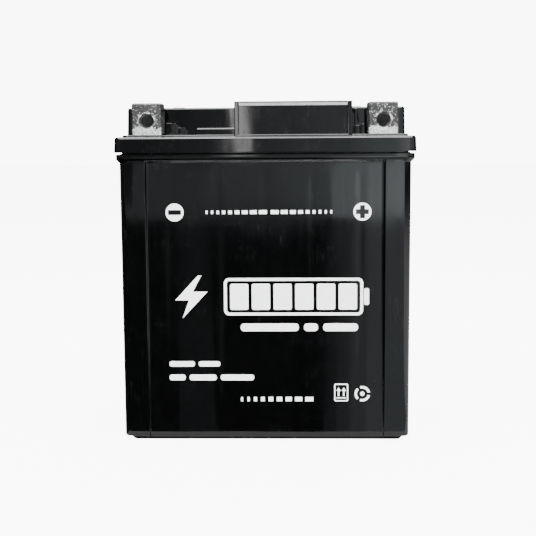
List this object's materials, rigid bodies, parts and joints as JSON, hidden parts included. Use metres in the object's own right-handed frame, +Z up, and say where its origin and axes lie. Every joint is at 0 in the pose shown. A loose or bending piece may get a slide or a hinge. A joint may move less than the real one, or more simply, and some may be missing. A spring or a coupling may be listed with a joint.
{
  "type": "motorcycle battery",
  "caption": "Sealed lead-acid motorcycle battery: upright black case, heat-sealed lid with a strip of plugs, a vent block and two slotted lead block terminals with bolt holes.",
  "frame": {"origin": "middle of the base, at the height the battery stands on", "axes": "+Z up, -Y towards the front with the terminals, -X towards the negative terminal and +X towards the positive terminal"},
  "size_m": [0.114, 0.071, 0.13],
  "materials": {
    "case_plastic": "moulded polypropylene, semi-gloss, fine scratches",
    "lid_plastic": "moulded polypropylene, semi-gloss",
    "cap_plastic": "moulded polypropylene, semi-gloss",
    "cover_plastic": "moulded polypropylene, ultrasonically welded",
    "seal_rubber": "soft acid-proof rubber",
    "porous_ceramic": "sintered, porous",
    "nut_steel": "zinc plated",
    "terminal_lead": "cast lead alloy, dull, scraped bright in places",
    "cast_lead": "cast lead alloy, dull",
    "seal_resin": "cast epoxy resin",
    "positive_paste": "lead dioxide paste on a cast grid, matt",
    "negative_paste": "spongy lead paste on a cast grid, matt",
    "glass_mat": "fine glass fibre mat, damp",
    "white_ink": "printed ink, on the front panel only"
  },
  "bodies": {
    "battery": {"case": "case_plastic", "cell_1_negative_plates": "negative_paste", "cell_1_negative_strap": "cast_lead", "cell_1_positive_plates": "positive_paste", "cell_1_positive_strap": "cast_lead", "cell_1_separators": "glass_mat", "cell_2_negative_plates": "negative_paste", "cell_2_negative_strap": "cast_lead", "cell_2_positive_plates": "positive_paste", "cell_2_positive_strap": "cast_lead", "cell_2_separators": "glass_mat", "cell_3_negative_plates": "negative_paste", "cell_3_negative_strap": "cast_lead", "cell_3_positive_plates": "positive_paste", "cell_3_positive_strap": "cast_lead", "cell_3_separators": "glass_mat", "cell_4_negative_plates": "negative_paste", "cell_4_negative_strap": "cast_lead", "cell_4_positive_plates": "positive_paste", "cell_4_positive_strap": "cast_lead", "cell_4_separators": "glass_mat", "cell_5_negative_plates": "negative_paste", "cell_5_negative_strap": "cast_lead", "cell_5_positive_plates": "positive_paste", "cell_5_positive_strap": "cast_lead", "cell_5_separators": "glass_mat", "cell_6_negative_plates": "negative_paste", "cell_6_negative_strap": "cast_lead", "cell_6_positive_plates": "positive_paste", "cell_6_positive_strap": "cast_lead", "cell_6_separators": "glass_mat", "flame_arrestor": "porous_ceramic", "intercell_welds": "cast_lead", "lid": "lid_plastic", "negative_post": "cast_lead", "negative_terminal": "terminal_lead", "positive_post": "cast_lead", "positive_terminal": "terminal_lead", "post_o_rings": "seal_rubber", "post_resin_seals": "seal_resin", "vent_cover": "cover_plastic"},
    "cap_strip": {"cap_strip": "cap_plastic"},
    "vent_valve": {"vent_valve": "seal_rubber"},
    "negative_nut": {"negative_terminal_nut": "nut_steel"},
    "positive_nut": {"positive_terminal_nut": "nut_steel"}
  },
  "joints": [
    {"name": "cap_strip_lift", "type": "slide", "parent": "battery", "child": "cap_strip", "axis": [0, 0, 1], "range_m": [0, 0.025]},
    {"name": "vent_valve_lift", "type": "slide", "parent": "battery", "child": "vent_valve", "axis": [0, 0, 1], "range_m": [0, 0.0009], "stiffness_N_per_m": 200},
    {"name": "negative_nut_slide", "type": "slide", "parent": "battery", "child": "negative_nut", "axis": [-1, 0, 0], "range_m": [0, 0.012]},
    {"name": "positive_nut_slide", "type": "slide", "parent": "battery", "child": "positive_nut", "axis": [1, 0, 0], "range_m": [0, 0.012]}
  ]
}
